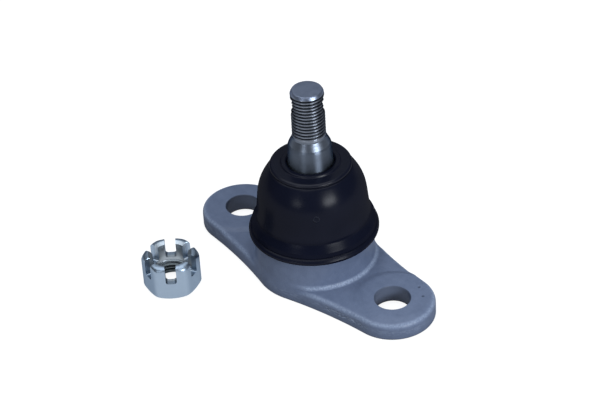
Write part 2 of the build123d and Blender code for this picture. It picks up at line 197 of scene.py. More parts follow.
floor_mesh = bpy.data.meshes.new("floor")
floor_corners = [(x * HALF_FLOOR, y * HALF_FLOOR, -FLOOR_DROP)
                 for x, y in ((-1, -1), (1, -1), (1, 1), (-1, 1))]
floor_mesh.from_pydata(floor_corners, [], [(0, 1, 2, 3)])
floor = bpy.data.objects.new("floor", floor_mesh)
bpy.context.scene.collection.objects.link(floor)
floor_material = bpy.data.materials.new("white_floor")
floor_material.use_nodes = True
floor_tree = floor_material.node_tree
floor_tree.nodes.clear()
paper = node(floor_tree, "ShaderNodeBsdfDiffuse", {"Color": PAPER})
strength = node(floor_tree, "ShaderNodeMath", {0: white_for_looks(floor_tree), 1: FLOOR_GLOW},
                operation="MULTIPLY")
glow = node(floor_tree, "ShaderNodeEmission", {"Color": WHITE, "Strength": strength.outputs[0]})
floor_sum = node(floor_tree, "ShaderNodeAddShader", {0: paper.outputs[0], 1: glow.outputs[0]})
node(floor_tree, "ShaderNodeOutputMaterial", {"Surface": floor_sum.outputs[0]})
floor_mesh.materials.append(floor_material)
print("the floor is", 2 * HALF_FLOOR, "m wide")

# %% [markdown]
# Finishes
#
# Each finish is one Principled shader. Noise on Object coordinates, in metres, gives it the
# grain of the real surface: a blasted and coated forging, fine turning rings on steel, moulded
# rubber with a dull bloom, bright zinc. The white floor would shine along every flank of a
# plain gloss, so the forging and the rubber get their gloss from a thin coat instead.

# %% Finish helpers
NOISE_LOW = 0.3
NOISE_HIGH = 0.7


def finish(name, colour, metallic, roughness, **constants):
    """A material with a Principled shader, and its tree, shader and Object coordinates."""
    material = bpy.data.materials.new(name)
    material.use_nodes = True
    tree = material.node_tree
    tree.nodes.clear()
    shader = node(tree, "ShaderNodeBsdfPrincipled", {
        "Base Color": (*colour, 1), "Metallic": metallic, "Roughness": roughness})
    for key, value in constants.items():
        shader.inputs[key.replace("_", " ").title().replace("Ior", "IOR")].default_value = value
    node(tree, "ShaderNodeOutputMaterial", {"Surface": shader.outputs[0]})
    place = node(tree, "ShaderNodeTexCoord").outputs["Object"]
    print("finish", name, "has roughness", roughness)
    return material, tree, shader, place


def feed(tree, shader, **inputs):
    """Links sockets to the shader's inputs."""
    for key, socket in inputs.items():
        tree.links.new(socket, shader.inputs[key.replace("_", " ")])


def noise(tree, place, scale, detail=2.0, rough=0.5):
    """Noise with features about 1/scale metres across."""
    return node(tree, "ShaderNodeTexNoise", {
        "Vector": place, "Scale": scale, "Detail": detail, "Roughness": rough}).outputs["Fac"]


def spread(tree, value, low, high, to_low, to_high):
    """The value's range from low to high, moved in proportion to another range and clamped there."""
    return node(tree, "ShaderNodeMapRange", {
        "Value": value, "From Min": low, "From Max": high, "To Min": to_low, "To Max": to_high}).outputs[0]


def spread_mm(tree, value, low, high, to_low, to_high):
    """The same for a length: the value is in metres, and its range is given in millimetres."""
    return spread(tree, value, low * MM, high * MM, to_low, to_high)


def spread_noise(tree, value, to_low, to_high):
    """Noise moved to another range: its middle part, which holds nearly all of it, fills that range."""
    return spread(tree, value, NOISE_LOW, NOISE_HIGH, to_low, to_high)


def mix(tree, share, first, second):
    """A colour between two, each a colour or a socket: the first at share 0, the second at 1."""
    inputs = {"Factor": share}
    for key, colour in (("A", first), ("B", second)):
        inputs[key] = colour if isinstance(colour, bpy.types.NodeSocket) else (*colour, 1)
    return node(tree, "ShaderNodeMix", inputs, data_type="RGBA").outputs["Result"]


def bump(tree, height, depth, strength, under=None):
    """A bump of a height field, with its depth in millimetres, on top of another if there is one."""
    inputs = {"Height": height, "Distance": depth * MM, "Strength": strength}
    if under is not None:
        inputs["Normal"] = under
    return node(tree, "ShaderNodeBump", inputs).outputs["Normal"]


print("noise from", NOISE_LOW, "to", NOISE_HIGH, "fills the whole range of a finish")

# %% [markdown]
# Distances in a shader
#
# Many marks are a colour or a bump near a point, a height or an axis. A shader has no such shapes,
# but it has sums on numbers and vectors, and they give each point's distance from one.

# %% Distances in a shader
def maths(tree, kind, first, second=0.0):
    """One sum on one or two numbers or sockets."""
    return node(tree, "ShaderNodeMath", {0: first, 1: second}, operation=kind).outputs[0]


def vector_maths(tree, kind, first, second=(0, 0, 0)):
    """One sum on one or two vectors, each a triple or a socket."""
    return node(tree, "ShaderNodeVectorMath", {0: first, 1: second}, operation=kind)


def off(tree, value, middle):
    """How far a length is from a value in millimetres: the difference without its sign."""
    return maths(tree, "ABSOLUTE", maths(tree, "SUBTRACT", value, middle * MM))


def away_from(tree, place, point):
    """Distance in metres from a point given in millimetres."""
    return vector_maths(tree, "DISTANCE", place, tuple(v * MM for v in point)).outputs["Value"]


def off_axis(tree, place, centre=(0.0, 0.0)):
    """Distance in metres from an upright axis whose place is given in millimetres."""
    centred = vector_maths(tree, "SUBTRACT", place, (centre[0] * MM, centre[1] * MM, 0)).outputs[0]
    flat = vector_maths(tree, "MULTIPLY", centred, (1, 1, 0)).outputs[0]
    return vector_maths(tree, "LENGTH", flat).outputs["Value"]


print("distances are in metres, as Object coordinates are, and their limits in mm times", MM)

# %% [markdown]
# The forging
#
# The housing is a hot forging, blasted and given a thin grey-blue coat. It looks satin, with a
# fine grain over wide pale patches. The bolt holes were drilled afterwards, so their walls are
# darker. The strip next to the ground is painted darker: painted shade.

# %% Forging colour
FORGING_COLOUR = (0.104, 0.135, 0.216)
FORGING_PALE = (0.145, 0.184, 0.280)
FORGING_WORN_AND_SHEEN = (0.310, 0.375, 0.510)
FORGING_DARK = (0.03, 0.04, 0.07)
DRILLED = (0.094, 0.117, 0.176)
GRAIN_SCALE = 1300
BLOTCH_SCALE = 60
MOTTLE_SCALE = 260
BOLT_SPACING = 92.0
HOLE_WALL = (7.65, 7.8)
half_spacing = BOLT_SPACING / 2

forging, tree, shader, place = finish(
    "coated_forging", FORGING_COLOUR, 0.0, 0.5, specular_ior_level=0.0, coat_weight=0.09,
    coat_ior=2.5, coat_roughness=0.28)
axes = node(tree, "ShaderNodeSeparateXYZ", {"Vector": place})
height = axes.outputs["Z"]
beside_hole = maths(tree, "SUBTRACT", maths(tree, "ABSOLUTE", axes.outputs["X"]), half_spacing * MM)
from_hole = node(tree, "ShaderNodeCombineXYZ", {"X": beside_hole, "Y": axes.outputs["Y"]}).outputs[0]
hole_distance = vector_maths(tree, "LENGTH", from_hole).outputs["Value"]
in_hole = spread_mm(tree, hole_distance, *HOLE_WALL, 1, 0)

grain = noise(tree, place, GRAIN_SCALE, 2.0, 0.6)
blotches = spread_noise(tree, noise(tree, place, BLOTCH_SCALE, 4.0, 0.6), 0, 1)
mottle = spread_noise(tree, noise(tree, place, MOTTLE_SCALE, 3.0, 0.6), 0, 1)
pale = maths(tree, "MULTIPLY", maths(tree, "ADD", blotches, mottle), 0.5)
forging_colour = mix(tree, pale, FORGING_COLOUR, FORGING_PALE)

# %% [markdown]
# The marks on the forging
#
# Its rounded edges are painted paler, partly as abrasion and partly as a painted highlight, and
# the foot of the boss is painted paler on its lit front only, as a painted highlight; the rim
# attribute tells both from point to point. On its side wall the trimmed flash left a torn, streaky
# band, strongest near one place, and two small pits lie beside one bolt hole. A bump follows each
# mark, so it is felt and not only painted.

# %% Forging marks
TRIM_HEIGHT = 3.9
TRIM_BAND = (0.45, 1.5)
ROUND_HOLE = (12, 13)
TORN_STRETCH = (500, 500, 1700)
TORN_NOISE = (0.45, 0.6)
TEAR = (36.0, -18.0, 4.0)
TEAR_REACH = (8, 15)
PITS = ((49.1, 12.4, 8.0), (54.3, 9.3, 8.0))
PIT_RADII = (0.25, 0.75)
GROUND_SHADE_LINE = (0.3, 1.1)
GROUND_SHADE = (0.8, 4.6)
DENT_SCALE = 420
PATCH_SCALE = 45
WEAR_AND_SHEEN_GRAIN = (0.38, 0.6)

in_trim = spread_mm(tree, off(tree, height, TRIM_HEIGHT), *TRIM_BAND, 1, 0)
outside = spread_mm(tree, hole_distance, *ROUND_HOLE, 0, 1)
stretched = node(tree, "ShaderNodeMapping", {"Vector": place, "Scale": TORN_STRETCH}).outputs[0]
torn = spread(tree, noise(tree, stretched, 1.0, 2.0), *TORN_NOISE, 0, 1)
patches = spread(tree, noise(tree, place, PATCH_SCALE, 1.0), *TORN_NOISE, 0, 0.3)
near_tear = spread_mm(tree, away_from(tree, place, TEAR), *TEAR_REACH, 1, 0)
torn = maths(tree, "MULTIPLY", torn, maths(tree, "MAXIMUM", patches, near_tear))
streaks = maths(tree, "MULTIPLY", torn, maths(tree, "MULTIPLY", in_trim, outside))
pits = 0.0
for spot in PITS:
    pits = maths(tree, "MAXIMUM", pits, spread_mm(tree, away_from(tree, place, spot), *PIT_RADII, 1, 0))
# The rim attribute is abrasion and a painted highlight on the flange's edge, and only a painted highlight
# on the boss's foot.
rim = node(tree, "ShaderNodeAttribute", attribute_name="rim").outputs["Fac"]
wear_and_sheen = maths(tree, "MULTIPLY", rim, spread(tree, grain, *WEAR_AND_SHEEN_GRAIN, 0.35, 1))
wear_and_sheen = maths(tree, "MAXIMUM", wear_and_sheen, maths(tree, "MULTIPLY", streaks, 0.8))
# Painted shade: the wall is darker towards the ground, a thin line at the bottom edge and a fainter band
# above it; the pits' darkening is their own.
painted_ground_shade = maths(tree, "MAXIMUM", spread_mm(tree, height, *GROUND_SHADE_LINE, 0.75, 0),
                    spread_mm(tree, height, *GROUND_SHADE, 0.16, 0))
dark = maths(tree, "MAXIMUM", maths(tree, "MULTIPLY", pits, 0.6), painted_ground_shade)

forging_colour = mix(tree, wear_and_sheen, forging_colour, FORGING_WORN_AND_SHEEN)
forging_colour = mix(tree, in_hole, forging_colour, DRILLED)
forging_colour = mix(tree, dark, forging_colour, FORGING_DARK)
relief = bump(tree, noise(tree, place, DENT_SCALE, 2.0), 0.12, 0.6)
relief = bump(tree, maths(tree, "MULTIPLY", grain, maths(tree, "ADD", rim, 0.45)), 0.2, 0.8, relief)
hollows = maths(tree, "MULTIPLY", maths(tree, "MAXIMUM", streaks, pits), -1.0)
relief = bump(tree, hollows, 0.3, 1.0, relief)
feed(tree, shader, Base_Color=forging_colour, Normal=relief, Coat_Normal=relief)
print("the forging has", len(tree.nodes), "nodes")

# %% [markdown]
# Turned steel
#
# A lathe leaves fine rings that stretch a highlight into a streak along the axis. Noise squeezed
# along Z gives the rings, and the shader's anisotropy with a tangent round Z gives the streak.
# Adding part of the radius to the height keeps rings on the flat end as well. A dark edge tint
# keeps the white floor out of the flanks, and the thread's roots are painted darker as painted
# shade.

# %% Steel
EDGE_TINT = (0.06, 0.07, 0.09, 1)
RING_STRETCH = (60, 60, 9000)
RADIUS_SHARE = 0.5
STAIN_SCALE = 260
ROOT_RADIUS = 6.3
CREST_RADIUS = 6.95


def steel(name, colour, roughness, root_shade=1.0, **constants):
    """Turned steel: fine rings round the Z axis, and painted shade in the thread's roots."""
    material, tree, shader, place = finish(name, colour, 1.0, roughness, **constants)
    radius = off_axis(tree, place)
    lift = node(tree, "ShaderNodeCombineXYZ", {"Z": maths(tree, "MULTIPLY", radius, RADIUS_SHARE)})
    along = vector_maths(tree, "ADD", place, lift.outputs[0]).outputs[0]
    rings = node(tree, "ShaderNodeMapping", {"Vector": along, "Scale": RING_STRETCH}).outputs[0]
    streaky = noise(tree, rings, 1.0, 2.0)
    stains = spread_noise(tree, noise(tree, place, STAIN_SCALE, 3.0), 0.85, 1.1)
    # Painted shade: the colour darkens into the thread's roots.
    painted_root_shade = spread_mm(tree, radius, ROOT_RADIUS, CREST_RADIUS, root_shade, 1)
    feed(tree, shader, Base_Color=mix(tree, maths(tree, "MULTIPLY", painted_root_shade, stains), (0, 0, 0), colour),
         Roughness=spread_noise(tree, streaky, roughness - 0.05, roughness + 0.06),
         Normal=bump(tree, streaky, 0.004, 0.5),
         Tangent=node(tree, "ShaderNodeTangent", direction_type="RADIAL", axis="Z").outputs[0])
    return material


shank_steel = steel("ground_shank", (0.110, 0.132, 0.172), 0.40, specular_tint=EDGE_TINT,
                    anisotropic=0.92, anisotropic_rotation=0.25)
shoulder_steel = steel("turned_shoulder", (0.135, 0.157, 0.197), 0.36, specular_tint=EDGE_TINT)
thread_steel = steel("rolled_thread", (0.20, 0.222, 0.268), 0.34, root_shade=0.15,
                     specular_tint=EDGE_TINT, anisotropic=0.8, anisotropic_rotation=0.25)
end_steel = steel("turned_end", (0.235, 0.275, 0.375), 0.34, specular_tint=EDGE_TINT)

# %% [markdown]
# Rubber
#
# The boot is black moulded rubber with a bluish bloom. Its lip and its bottom edge are smoother
# than the wall, and the flared skirt is the dullest, so the coat's weight follows the height. A
# small ring on the wall is where the rubber was let into the mould.

# %% Rubber
RUBBER_DARK = (0.003, 0.0042, 0.0105)
RUBBER_BLOOM = (0.0065, 0.0078, 0.0175)
GATE_COLOUR = (0.03, 0.034, 0.05)
GATE_PLACE = (17.7, -14.2, 41.0)
GATE_RADIUS = 1.2
GATE_WIDTH = 0.35
SKIRT_GLOSS = 0.014
WALL_GLOSS = 0.036
LIP_GLOSS = 0.05
EDGE_GLOSS = 0.03
EDGE_HEIGHTS = (23, 24)
SKIRT_HEIGHTS = (28, 31)
LIP_HEIGHTS = (51.5, 52.5)
BLOOM_SCALE = 90
SKIN_SCALE = 1500

rubber, tree, shader, place = finish(
    "moulded_rubber", RUBBER_BLOOM, 0.0, 0.42, specular_ior_level=0.0, coat_weight=WALL_GLOSS,
    coat_ior=2.5, coat_roughness=0.26)
from_ring = off(tree, away_from(tree, place, GATE_PLACE), GATE_RADIUS)
gate_ring = spread_mm(tree, from_ring, 0, GATE_WIDTH, 1, 0)
rubber_colour = mix(tree, noise(tree, place, BLOOM_SCALE, 3.0), RUBBER_DARK, RUBBER_BLOOM)
rubber_colour = mix(tree, maths(tree, "MULTIPLY", gate_ring, 0.6), rubber_colour, GATE_COLOUR)
relief = bump(tree, noise(tree, place, SKIN_SCALE, 2.0), 0.012, 0.4)
relief = bump(tree, gate_ring, 0.3, 0.9, relief)
height = node(tree, "ShaderNodeSeparateXYZ", {"Vector": place}).outputs["Z"]
gloss = spread_mm(tree, height, *SKIRT_HEIGHTS, SKIRT_GLOSS, WALL_GLOSS)
gloss = maths(tree, "ADD", gloss, spread_mm(tree, height, *LIP_HEIGHTS, 0, LIP_GLOSS))
gloss = maths(tree, "ADD", gloss, spread_mm(tree, height, *EDGE_HEIGHTS, EDGE_GLOSS, 0))
feed(tree, shader, Base_Color=rubber_colour, Coat_Weight=gloss, Normal=relief, Coat_Normal=relief)
print("the rubber has", len(tree.nodes), "nodes")

# %% [markdown]
# Zinc
#
# The nut is bright zinc with a blue cast. Inside, its crown is painted paler as a painted
# highlight, and its thread is painted dark as painted shade, so the colour follows the distance
# from the nut's own axis.

# %% Zinc
NUT_CENTRE = (-35.0, -50.3)
ZINC = (0.29, 0.365, 0.46)
ZINC_CROWN_SHEEN = (0.44, 0.50, 0.56)
ZINC_BORE_SHADE = (0.11, 0.13, 0.14)
INSIDE_CROWN = (8.8, 9.2)
INSIDE_THREAD = (7.1, 7.45)
ZINC_ROUGHNESS = (0.30, 0.42)
ZINC_CLOUDS = 500
ZINC_GRAIN = 700
ZINC_EDGE_TINT = (0.3, 0.32, 0.36, 1)

zinc, tree, shader, place = finish("zinc_plate", ZINC, 1.0, 0.36, specular_tint=ZINC_EDGE_TINT)
from_axis = off_axis(tree, place, NUT_CENTRE)
# Painted highlight on the crown's inside, and painted shade in the threaded bore.
zinc_colour = mix(tree, spread_mm(tree, from_axis, *INSIDE_CROWN, 0, 1), ZINC_CROWN_SHEEN, ZINC)
zinc_colour = mix(tree, spread_mm(tree, from_axis, *INSIDE_THREAD, 0, 1), ZINC_BORE_SHADE, zinc_colour)
feed(tree, shader, Base_Color=zinc_colour,
     Roughness=spread_noise(tree, noise(tree, place, ZINC_CLOUDS, 3.0), *ZINC_ROUGHNESS),
     Normal=bump(tree, noise(tree, place, ZINC_GRAIN, 2.0), 0.02, 0.4))

# %% [markdown]
# Pressed steel and plastic
#
# The cover plate, the spring and the boot's two rings are pressed steel, and the bearing halves
# are a hard pale plastic. Nobody sees them while the joint is whole, so they keep the packed
# model's shapes and only get a finish.

# %% Pressed steel and plastic
PRESSED_COLOUR = (0.34, 0.36, 0.39)
PRESSED_CLOUDS = 300
PRESSED_GRAIN = 1200
PLASTIC_COLOUR = (0.78, 0.75, 0.66)
PLASTIC_CLOUDS = 800

pressed_steel, tree, shader, place = finish("pressed_steel", PRESSED_COLOUR, 1.0, 0.38)
feed(tree, shader, Roughness=spread_noise(tree, noise(tree, place, PRESSED_CLOUDS, 3.0), 0.3, 0.46),
     Normal=bump(tree, noise(tree, place, PRESSED_GRAIN, 2.0), 0.01, 0.4))
bearing_plastic, tree, shader, place = finish("bearing_plastic", PLASTIC_COLOUR, 0.0, 0.5)
feed(tree, shader, Roughness=spread_noise(tree, noise(tree, place, PLASTIC_CLOUDS, 2.0), 0.42, 0.58))

hidden_finishes = {
    "cover_plate": pressed_steel, "disc_spring": pressed_steel, "boot_base_ring": pressed_steel,
    "boot_neck_ring": pressed_steel, "upper_bearing": bearing_plastic, "lower_bearing": bearing_plastic}
for name, material in hidden_finishes.items():
    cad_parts[name].data.materials.clear()
    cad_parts[name].data.materials.append(material)
print(len(hidden_finishes), "hidden pieces have their finish")

# %% [markdown]
# How the surfaces are made
#
# Almost every piece here is round, or nearly so. Its skin is a grid of points: each row is one
# ring round the upright axis, each column is the same profile seen at another turn. Where the
# radius changes from column to column the same grid gives a hexagon, a screw thread or a
# flange. One function turns such a grid into a mesh, and merging doubled points closes the
# poles.

# %% Grids into meshes
MERGE_DISTANCE = 1e-7
SHARP_DEGREES = 38


def skin(name, points, loop=False, rim=None):
    """A mesh over a grid of points in millimetres, rows down the profile and columns round the axis.

    Each face joins a point, the one below it, and the same two of the next column. With loop, the
    last row joins the first, which closes a profile that never meets the axis. The rim grid, where
    there is one, is kept on the points for the material: how much paler each one is painted, for
    abrasion and as a painted highlight.
    """
    rows, columns = points.shape[:2]
    index = np.arange(rows * columns).reshape(rows, columns)
    lower = np.roll(index, -1, axis=0)
    upper, lower = (index, lower) if loop else (index[:-1], lower[:-1])
    quads = np.stack([upper, lower, np.roll(lower, -1, axis=1), np.roll(upper, -1, axis=1)], axis=-1)
    mesh = bpy.data.meshes.new(name)
    mesh.from_pydata((points.reshape(-1, 3) * MM).tolist(), [], quads.reshape(-1, 4).tolist())
    if rim is not None:
        mesh.attributes.new("rim", "FLOAT", "POINT").data.foreach_set("value", rim.ravel())
    shape = bmesh.new()
    shape.from_mesh(mesh)
    bmesh.ops.remove_doubles(shape, verts=shape.verts, dist=MERGE_DISTANCE)
    shape.to_mesh(mesh)
    shape.free()
    piece = bpy.data.objects.new(name, mesh)
    bpy.context.scene.collection.objects.link(piece)
    return piece


def smooth(piece, degrees=SHARP_DEGREES):
    """Smooth shading that stays crisp over edges that turn by more than the degrees."""
    piece.data.polygons.foreach_set("use_smooth", [True] * len(piece.data.polygons))
    piece.data.set_sharp_from_angle(angle=radians(degrees))
    print(piece.name, "has", len(piece.data.polygons), "faces")


print("edges that turn by more than", SHARP_DEGREES, "degrees stay crisp")

# %% [markdown]
# Rings
#
# A ring is a circle's cosine and sine times a radius. The radius and the height can be one number,
# one for each row or one for each turn, and numpy spreads them over the grid. A smooth step joins
# two levels without a kink.

# %% Rings
def even_turns(count):
    """Angles evenly spaced round the axis: the whole turn times 0, 1, 2 and so on over the count."""
    return np.arange(count) * 2 * pi / count


def ring_points(radius, height, turns):
    """Grid points: radius times the turn's cosine and sine, at a height, for every row and turn."""
    radius, height = np.broadcast_arrays(radius, height)
    return np.stack([radius * np.cos(turns), radius * np.sin(turns), height + 0 * turns], axis=-1)


def smooth_step(value):
    """0 below 0, 1 above 1, and between them the value squared times 3 minus twice the value."""
    value = np.clip(value, 0, 1)
    return value * value * (3 - 2 * value)


print("a smooth step in quarters:", smooth_step(np.linspace(0, 1, 5)).round(2).tolist())

# %% [markdown]
# The housing
#
# Seen from the stud's axis, every part of the flange's outline is in sight, so the housing can
# be one grid: for each turn round the axis, a profile that runs down the boss, out along the
# web, over the rounded edge, down the side and back under. The web is as long as the outline is
# far, and it shrinks to nothing in front, where the boss runs straight down into the side wall.
#
# The outline itself is six arcs that touch: a lug's circle at each end, a circle round the
# middle, and four wide hollow sides between them.

# %% Housing outline
LUG_RADIUS = 17.75
MIDDLE_RADIUS = 25.9
WAIST_RADIUS = 200.0
HOUSING_TURNS = 560
TURN_WEIGHT = 12
FINE_TURNS = 7201
to_middle = WAIST_RADIUS + MIDDLE_RADIUS
to_lug = WAIST_RADIUS + LUG_RADIUS
waist_x = (to_middle**2 - to_lug**2 + half_spacing**2) / (2 * half_spacing)
waist_y = sqrt(to_middle**2 - waist_x**2)


def outline(turns):
    """The flange's outline: its distance from the axis at each turn, and the way out of it there.

    A ray from the axis meets the lug's circle, then the hollow side's circle, then the middle's.
    Each distance is the centre's share along the ray, plus or minus the root of the radius squared
    less the centre's distance from the ray squared. Folding the turn into one quarter lets one set
    of circles serve all four.
    """
    x, y = np.abs(np.cos(turns)), np.abs(np.sin(turns))
    lug = half_spacing * x + np.sqrt(np.maximum(LUG_RADIUS**2 - (half_spacing * y)**2, 0))
    across = waist_x * x + waist_y * y
    waist = across - np.sqrt(np.maximum(across**2 - waist_x**2 - waist_y**2 + WAIST_RADIUS**2, 0))
    lug_end_x = half_spacing + (waist_x - half_spacing) * LUG_RADIUS / to_lug
    lug_end_turn = np.arctan2(waist_y * LUG_RADIUS / to_lug, lug_end_x)
    middle_turn = np.arctan2(waist_y, waist_x)
    turn = np.arctan2(y, x)
    on_lug, on_middle = turn < lug_end_turn, turn > middle_turn
    reach = np.where(on_lug, lug, np.where(on_middle, MIDDLE_RADIUS, waist))
    way_x = np.where(on_lug, reach * x - half_spacing, np.where(on_middle, x, waist_x - reach * x))
    way_y = np.where(on_lug, reach * y, np.where(on_middle, y, waist_y - reach * y))
    size = np.hypot(way_x, way_y)
    return reach, np.sign(np.cos(turns)) * way_x / size, np.sign(np.sin(turns)) * way_y / size


def housing_turns(count):
    """Turns that share the outline's length, plus a weight times the full circle, evenly."""
    fine = np.linspace(0, 2 * pi, FINE_TURNS)
    reach, _, _ = outline(fine)
    steps = np.hypot(np.diff(reach * np.cos(fine)), np.diff(reach * np.sin(fine)))
    along = np.concatenate([[0], np.cumsum(steps + TURN_WEIGHT * np.diff(fine))])
    return np.interp(np.arange(count) / count * along[-1], along, fine)


turns = housing_turns(HOUSING_TURNS)
reach, way_x, way_y = outline(turns)
print("the flange reaches from", round(reach.min(), 2), "to", round(reach.max(), 2), "mm")

# %% [markdown]
# The flange's top
#
# The top is a web with a slightly higher pad round each bolt hole. Its inner end curves up into
# the boss, and its outer edge is rounded over. In front there is no room for either, so both
# roundings shrink with the room that the outline leaves beside the boss.

# %% Flange top
LUG_HEIGHT = 8.0
WEB_HEIGHT = 7.2
PAD_RADIUS = 15.4
PAD_SLOPE = 3.2
PAD_SOFTNESS = 1.6
PAD_SKEW = 0.9
EDGE_ROUNDING = 2.4
FOOT_ROUNDING = 1.9
BOSS_FOOT_RADIUS = 25.35
NO_ROOM = 0.6
WEB_ROWS = 44
ARC_ROWS = 9


def top_height(x, y):
    """The flange's top: the web, plus the pad's rise times a smooth step of the distance from a hole.

    The step is wider on one side of each pad, as on the real one.
    """
    away = np.hypot(np.abs(x) - half_spacing, y)
    slope = PAD_SLOPE * (PAD_SOFTNESS + PAD_SKEW * np.clip(-y * np.sign(x) / PAD_RADIUS, -1, 1))
    return WEB_HEIGHT + (LUG_HEIGHT - WEB_HEIGHT) * smooth_step((PAD_RADIUS + PAD_SLOPE - away) / slope)


room = reach - BOSS_FOOT_RADIUS
foot_width = np.minimum(FOOT_ROUNDING, room / 2)
edge_width = np.minimum(EDGE_ROUNDING, room / 2)
edge_x = reach * np.cos(turns) - way_x * edge_width
edge_y = reach * np.sin(turns) - way_y * edge_width
foot_x = (BOSS_FOOT_RADIUS + foot_width) * np.cos(turns)
foot_y = (BOSS_FOOT_RADIUS + foot_width) * np.sin(turns)

quarter = np.linspace(0, pi / 2, ARC_ROWS)[:, None]
foot_radius = BOSS_FOOT_RADIUS + foot_width * (1 - np.cos(quarter))
foot_rows = ring_points(foot_radius, WEB_HEIGHT + FOOT_ROUNDING * (1 - np.sin(quarter)), turns)
share = np.linspace(0, 1, WEB_ROWS)[1:-1, None]
web_x = foot_x + share * (edge_x - foot_x)
web_y = foot_y + share * (edge_y - foot_y)
web_rows = np.stack([web_x, web_y, top_height(web_x, web_y)], axis=-1)
edge_rows = np.stack([edge_x + way_x * edge_width * np.sin(quarter),
                      edge_y + way_y * edge_width * np.sin(quarter),
                      top_height(edge_x, edge_y) - EDGE_ROUNDING * (1 - np.cos(quarter))], axis=-1)

# Where the web has no room, its S-shaped step is drawn out into one straight, leaning wall.
rise = np.concatenate([foot_rows, web_rows, edge_rows])
room_share = smooth_step((room - NO_ROOM) / (FOOT_ROUNDING + EDGE_ROUNDING - NO_ROOM))
distance = np.hypot(rise[..., 0] - rise[0, :, 0], rise[..., 1] - rise[0, :, 1])
straight = rise[0, :, 2] + (rise[-1, :, 2] - rise[0, :, 2]) * distance / distance[-1]
rise[..., 2] = straight + (rise[..., 2] - straight) * room_share
print("the web leaves from", round(room.min(), 2), "to", round(room.max(), 2), "mm beside the boss")

# %% [markdown]
# Rounded profiles
#
# A turned or forged piece is easiest to draw as its sharp corners, each with the radius of its
# rounding, as on a workshop drawing. Arcs then take the corners' places. Exact arcs need few
# points, where a bevelled mesh would need care at every corner.

# %% Rounded profiles
PROFILE_STEP = 0.5
ARC_POINTS = 7
NEARLY_STRAIGHT = 1e-3


def rounded_profile(corners, step=PROFILE_STEP):
    """A profile through corners (radius, height, rounding), in rows no further apart than a step.

    The arc in a corner touches both of its sides. Its centre lies on the line that halves the
    corner, at the rounding over the sine of half the corner's angle, and its points are the two
    touching points mixed by the sines of their shares of the sweep. The straight stretches
    between arcs are divided evenly.
    """
    spots = np.array([corner[:2] for corner in corners], float)
    stretches = [spots[:1]]
    for here, (_, _, rounding) in zip(range(1, len(spots) - 1), corners[1:-1]):
        back = spots[here - 1] - spots[here]
        on = spots[here + 1] - spots[here]
        back, on = back / np.linalg.norm(back), on / np.linalg.norm(on)
        half = np.arccos(np.clip(back @ on, -1, 1)) / 2
        if rounding <= 0 or half > pi / 2 - NEARLY_STRAIGHT:
            stretches.append(spots[here:here + 1])
            continue
        middle = (back + on) / np.linalg.norm(back + on)
        centre = spots[here] + middle * rounding / np.sin(half)
        touch_1 = spots[here] + back * rounding / np.tan(half) - centre
        touch_2 = spots[here] + on * rounding / np.tan(half) - centre
        share = np.linspace(0, 1, ARC_POINTS)[:, None]
        sweep = pi - 2 * half
        arc = (np.sin((1 - share) * sweep) * touch_1 + np.sin(share * sweep) * touch_2) / np.sin(sweep)
        stretches.append(centre + arc)
    stretches.append(spots[-1:])
    line = np.concatenate(stretches)
    lengths = np.linalg.norm(np.diff(line, axis=0), axis=1)
    parts = np.maximum(1, np.ceil(lengths / step).astype(int))
    places = np.concatenate([[0], np.cumsum(np.repeat(1 / parts, parts))])
    return np.stack([np.interp(places, np.arange(len(line)), line[:, axis]) for axis in (0, 1)])


def turned_points(corners, turns, step=PROFILE_STEP):
    """The grid of a turned piece: its rounded profile at every turn."""
    radius, height = rounded_profile(corners, step)
    return ring_points(radius[:, None], height[:, None], turns)


print("one rounded corner takes", rounded_profile([(0, 0, 0), (2, 0, 1), (2, 2, 0)]).shape[1], "rows")

# %% [markdown]
# The whole skin
#
# The grid starts inside the mouth that the stud comes out of. It goes over the lip, down the
# spigot that carries the boot and down the boss. After the flange it turns under and up through
# the bore that holds the bearing, and so it meets its own start. The rim grid says how much paler
# each point is painted, most on the middle of each rounding: on the flange's edge partly abrasion
# and partly a painted highlight, on the boss's foot a painted highlight on the lit side.

# %% Housing skin
BOTTOM_ROUNDING = 0.8
BOTTOM_ROWS = 6
EDGE_WEAR_AND_SHEEN = 0.62
# The foot's painted highlight is strongest at this turn, on the side towards the lamps.
FOOT_SHEEN_TURN = radians(-18)
LEAST_FOOT_SHEEN = 0.1

boss_rows = turned_points([
    (13.7, 29.1, 0), (15.4, 32.5, 0.3), (19.8, 32.5, 0.3), (21.0, 31.3, 0.3), (21.0, 20.5, 0.4),
    (24.8, 20.5, 0.4), (BOSS_FOOT_RADIUS, WEB_HEIGHT + FOOT_ROUNDING, 0)], turns, step=1.5)[:-1]
under_rows = turned_points([
    (24.0, 0, 0), (17.5, 0, 0.3), (17.5, 0.6, 0), (19.1, 1.2, 0), (19.1, 4.2, 0), (16.6, 4.2, 0),
    (16.6, 29.1, 0), (13.9, 29.1, 0)], turns, step=8.0)
under_turn = np.linspace(0, pi / 2, BOTTOM_ROWS)[:, None]
inset = BOTTOM_ROUNDING * (1 - np.cos(under_turn))
side_rows = np.stack([reach * np.cos(turns) - way_x * inset, reach * np.sin(turns) - way_y * inset,
                      BOTTOM_ROUNDING * (1 - np.sin(under_turn)) + 0 * turns], axis=-1)
rows = [boss_rows, rise, side_rows, under_rows]
wear_and_sheen_rows = [np.zeros(block.shape[:2]) for block in rows]
rounding_middle = np.sin(2 * quarter)
# The edge's rounding is painted paler, partly abrasion and partly a painted highlight.
wear_and_sheen_rows[1][-ARC_ROWS:] = EDGE_WEAR_AND_SHEEN * rounding_middle**3 * room_share
